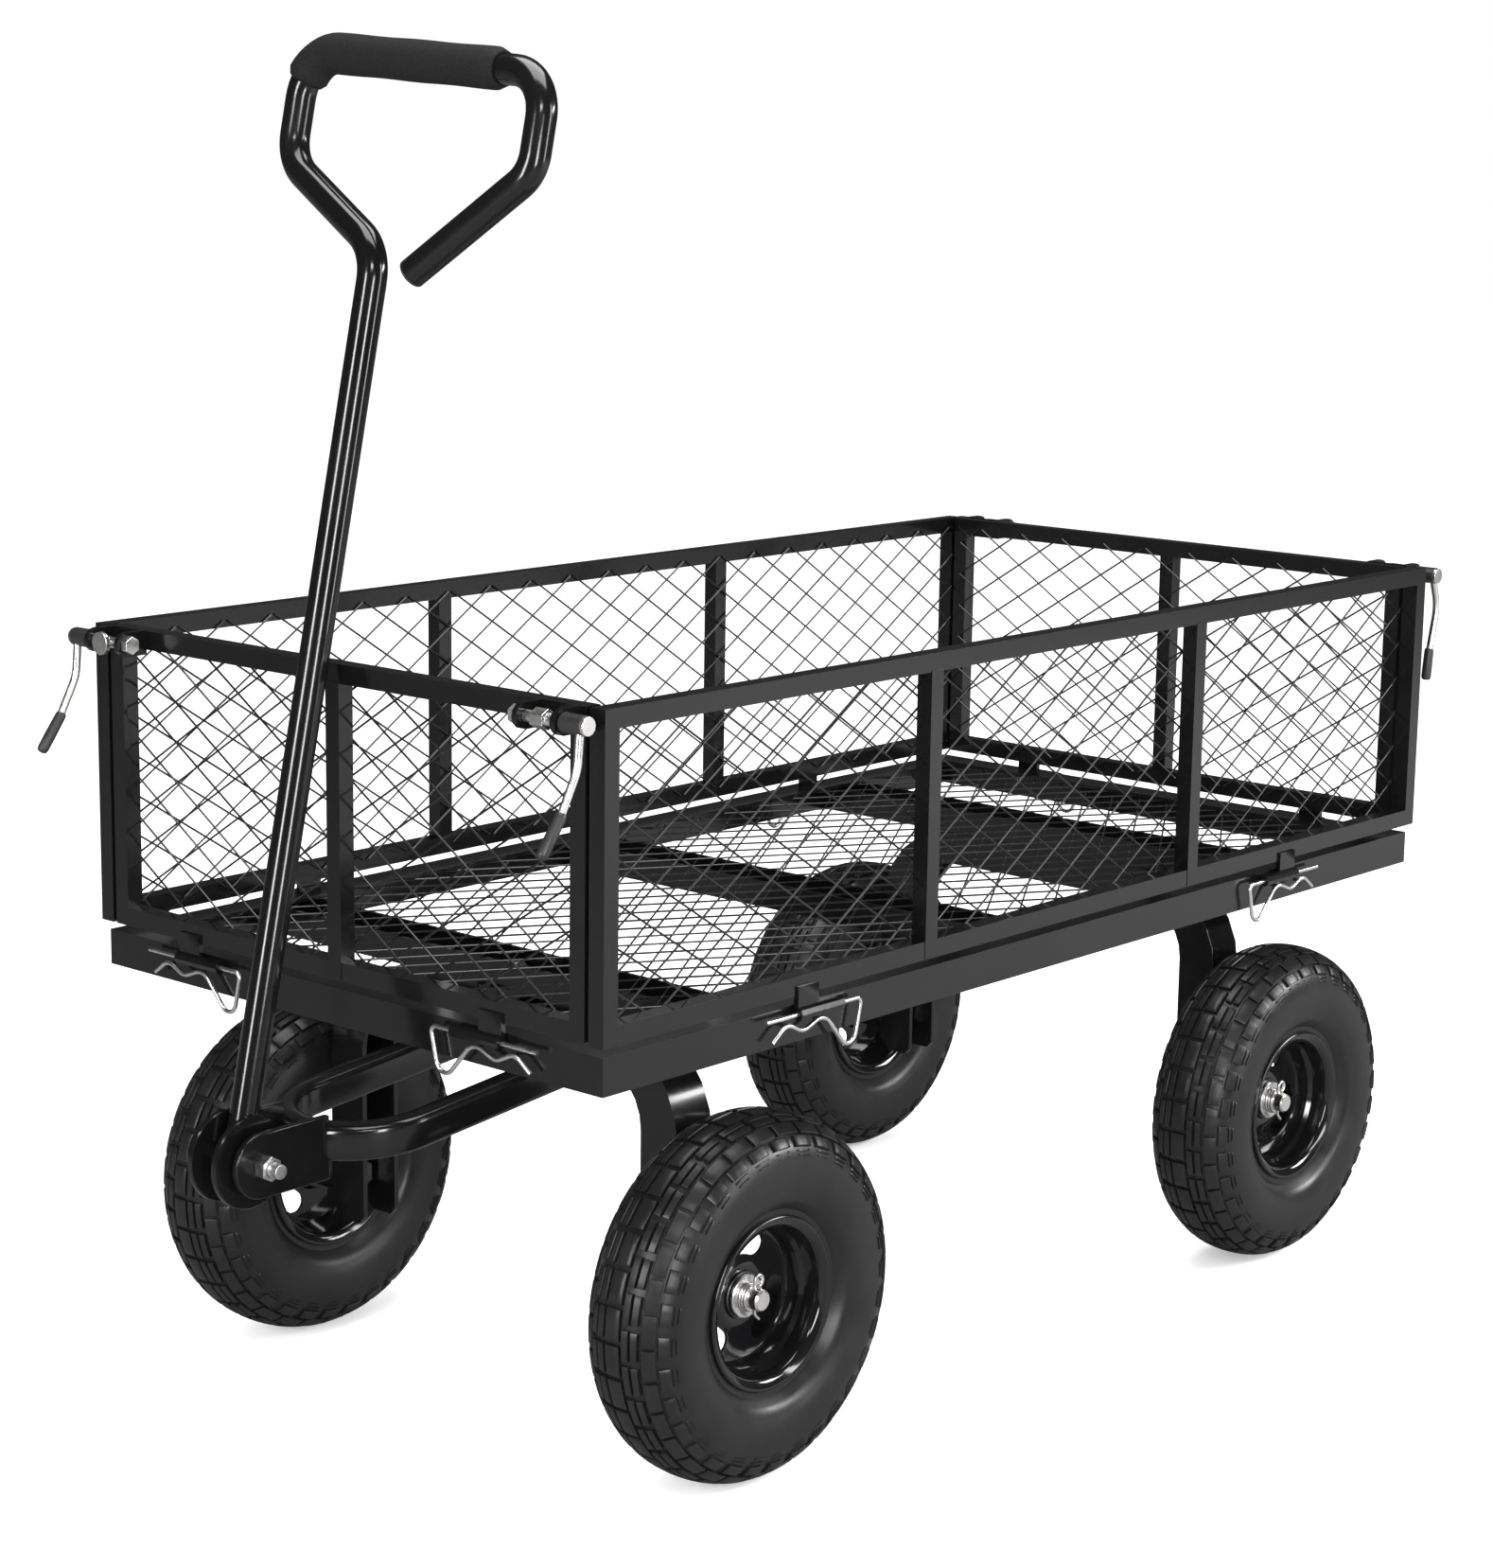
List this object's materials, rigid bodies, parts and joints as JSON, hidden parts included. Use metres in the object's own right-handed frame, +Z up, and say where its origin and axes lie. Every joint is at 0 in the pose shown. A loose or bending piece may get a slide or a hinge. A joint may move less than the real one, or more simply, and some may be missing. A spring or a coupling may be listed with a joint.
{
  "type": "garden cart",
  "caption": "Steel mesh garden cart with fold-down sides, air-tyred wheels, a front axle steered by a bow and a looped pull handle.",
  "frame": {"origin": "on the ground, below the middle of the overall length and width", "axes": "+Z up; -Y towards the front, where the handle is; +X towards the cart's left as it is pulled, the side of the files named right"},
  "size_m": [0.5078, 1.112, 0.9521],
  "materials": {
    "powder_coat": "gloss black powder coat",
    "wire_mesh": "gloss black powder coat over welded wire",
    "rim_gloss": "high-gloss black paint on pressed steel",
    "zinc": "bright zinc plating",
    "lever_zinc": "zinc-plated rod with a black rubber tip",
    "tyre_rubber": "satin black rubber",
    "foam_grip": "matte black closed-cell foam",
    "end_plug": "matte black plastic",
    "hub_bearing": "dark oiled steel hub sleeve"
  },
  "bodies": {
    "chassis": {"tray_frame": "powder_coat", "bed_mesh": "wire_mesh", "rear_axle_arch": "powder_coat", "kingpin_bolt": "zinc", "kingpin_nut": "zinc", "panel_frame_front": "powder_coat", "panel_mesh_front": "wire_mesh", "latch_bolt_front_right": "zinc", "latch_bolt_front_left": "zinc", "axle_bolt_rear_right": "zinc", "axle_bolt_rear_left": "zinc", "washer_rear_right": "zinc", "washer_rear_left": "zinc", "cotter_pin_rear_right": "zinc", "cotter_pin_rear_left": "zinc"},
    "steering": {"front_axle_arch": "powder_coat", "steering_bow": "powder_coat", "pivot_bolt": "zinc", "pivot_nut": "zinc", "axle_bolt_front_right": "zinc", "axle_bolt_front_left": "zinc", "washer_front_right": "zinc", "washer_front_left": "zinc", "cotter_pin_front_right": "zinc", "cotter_pin_front_left": "zinc"},
    "handle": {"handle_tube": "powder_coat", "handle_grip": "foam_grip", "handle_end_plug": "end_plug"},
    "side_right": {"panel_frame_right": "powder_coat", "panel_mesh_right": "wire_mesh"},
    "side_left": {"panel_frame_left": "powder_coat", "panel_mesh_left": "wire_mesh"},
    "side_rear": {"panel_frame_rear": "powder_coat", "panel_mesh_rear": "wire_mesh", "latch_bolt_rear_right": "zinc", "latch_bolt_rear_left": "zinc"},
    "wheel_front_right": {"tyre_front_right": "tyre_rubber", "rim_front_right": "rim_gloss", "bearing_front_right": "hub_bearing"},
    "wheel_front_left": {"tyre_front_left": "tyre_rubber", "rim_front_left": "rim_gloss", "bearing_front_left": "hub_bearing"},
    "wheel_rear_right": {"tyre_rear_right": "tyre_rubber", "rim_rear_right": "rim_gloss", "bearing_rear_right": "hub_bearing"},
    "wheel_rear_left": {"tyre_rear_left": "tyre_rubber", "rim_rear_left": "rim_gloss", "bearing_rear_left": "hub_bearing"},
    "lever_front_right": {"latch_lever_front_right": "lever_zinc"},
    "lever_front_left": {"latch_lever_front_left": "lever_zinc"},
    "lever_rear_right": {"latch_lever_rear_right": "lever_zinc"},
    "lever_rear_left": {"latch_lever_rear_left": "lever_zinc"},
    "pin_right_a": {"hairpin_right_a": "zinc"},
    "pin_right_b": {"hairpin_right_b": "zinc"},
    "pin_left_a": {"hairpin_left_a": "zinc"},
    "pin_left_b": {"hairpin_left_b": "zinc"},
    "pin_front_a": {"hairpin_front_a": "zinc"},
    "pin_front_b": {"hairpin_front_b": "zinc"},
    "pin_rear_a": {"hairpin_rear_a": "zinc"},
    "pin_rear_b": {"hairpin_rear_b": "zinc"}
  },
  "joints": [
    {"name": "steering_turn", "type": "hinge", "parent": "chassis", "child": "steering", "pos_m": [0, -0.27253, 0.298], "axis": [0, 0, 1], "range_deg": [-13, 13]},
    {"name": "handle_tilt", "type": "hinge", "parent": "steering", "child": "handle", "pos_m": [0, -0.52502, 0.232], "axis": [1, 0, 0], "range_deg": [0, 115]},
    {"name": "side_right_fold", "type": "hinge", "parent": "chassis", "child": "side_right", "pos_m": [0.2485, 0.04448, 0.324], "axis": [0, 1, 0], "range_deg": [0, 90]},
    {"name": "side_left_fold", "type": "hinge", "parent": "chassis", "child": "side_left", "pos_m": [-0.2485, 0.04448, 0.324], "axis": [0, -1, 0], "range_deg": [0, 90]},
    {"name": "side_rear_fold", "type": "hinge", "parent": "chassis", "child": "side_rear", "pos_m": [0, 0.53048, 0.324], "axis": [-1, 0, 0], "range_deg": [0, 90]},
    {"name": "wheel_front_right_spin", "type": "hinge", "parent": "steering", "child": "wheel_front_right", "pos_m": [0.2164, -0.27253, 0.127], "axis": [1, 0, 0], "continuous": true},
    {"name": "wheel_front_left_spin", "type": "hinge", "parent": "steering", "child": "wheel_front_left", "pos_m": [-0.2164, -0.27253, 0.127], "axis": [1, 0, 0], "continuous": true},
    {"name": "wheel_rear_right_spin", "type": "hinge", "parent": "chassis", "child": "wheel_rear_right", "pos_m": [0.2164, 0.36947, 0.127], "axis": [1, 0, 0], "continuous": true},
    {"name": "wheel_rear_left_spin", "type": "hinge", "parent": "chassis", "child": "wheel_rear_left", "pos_m": [-0.2164, 0.36947, 0.127], "axis": [1, 0, 0], "continuous": true},
    {"name": "lever_front_right_swing", "type": "hinge", "parent": "chassis", "child": "lever_front_right", "pos_m": [0.243, -0.45603, 0.541], "axis": [-1, 0, 0], "range_deg": [0, 120]},
    {"name": "lever_front_left_swing", "type": "hinge", "parent": "chassis", "child": "lever_front_left", "pos_m": [-0.243, -0.45603, 0.541], "axis": [-1, 0, 0], "range_deg": [0, 120]},
    {"name": "lever_rear_right_swing", "type": "hinge", "parent": "side_rear", "child": "lever_rear_right", "pos_m": [0.243, 0.54497, 0.541], "axis": [1, 0, 0], "range_deg": [0, 120]},
    {"name": "lever_rear_left_swing", "type": "hinge", "parent": "side_rear", "child": "lever_rear_left", "pos_m": [-0.243, 0.54497, 0.541], "axis": [1, 0, 0], "range_deg": [0, 120]},
    {"name": "pin_right_a_draw", "type": "slide", "parent": "chassis", "child": "pin_right_a", "axis": [0, -1, 0], "range_m": [0, 0.1]},
    {"name": "pin_right_b_draw", "type": "slide", "parent": "chassis", "child": "pin_right_b", "axis": [0, 1, 0], "range_m": [0, 0.1]},
    {"name": "pin_left_a_draw", "type": "slide", "parent": "chassis", "child": "pin_left_a", "axis": [0, -1, 0], "range_m": [0, 0.1]},
    {"name": "pin_left_b_draw", "type": "slide", "parent": "chassis", "child": "pin_left_b", "axis": [0, 1, 0], "range_m": [0, 0.1]},
    {"name": "pin_front_a_draw", "type": "slide", "parent": "chassis", "child": "pin_front_a", "axis": [-1, 0, 0], "range_m": [0, 0.08]},
    {"name": "pin_front_b_draw", "type": "slide", "parent": "chassis", "child": "pin_front_b", "axis": [1, 0, 0], "range_m": [0, 0.08]},
    {"name": "pin_rear_a_draw", "type": "slide", "parent": "chassis", "child": "pin_rear_a", "axis": [-1, 0, 0], "range_m": [0, 0.08]},
    {"name": "pin_rear_b_draw", "type": "slide", "parent": "chassis", "child": "pin_rear_b", "axis": [1, 0, 0], "range_m": [0, 0.08]}
  ]
}
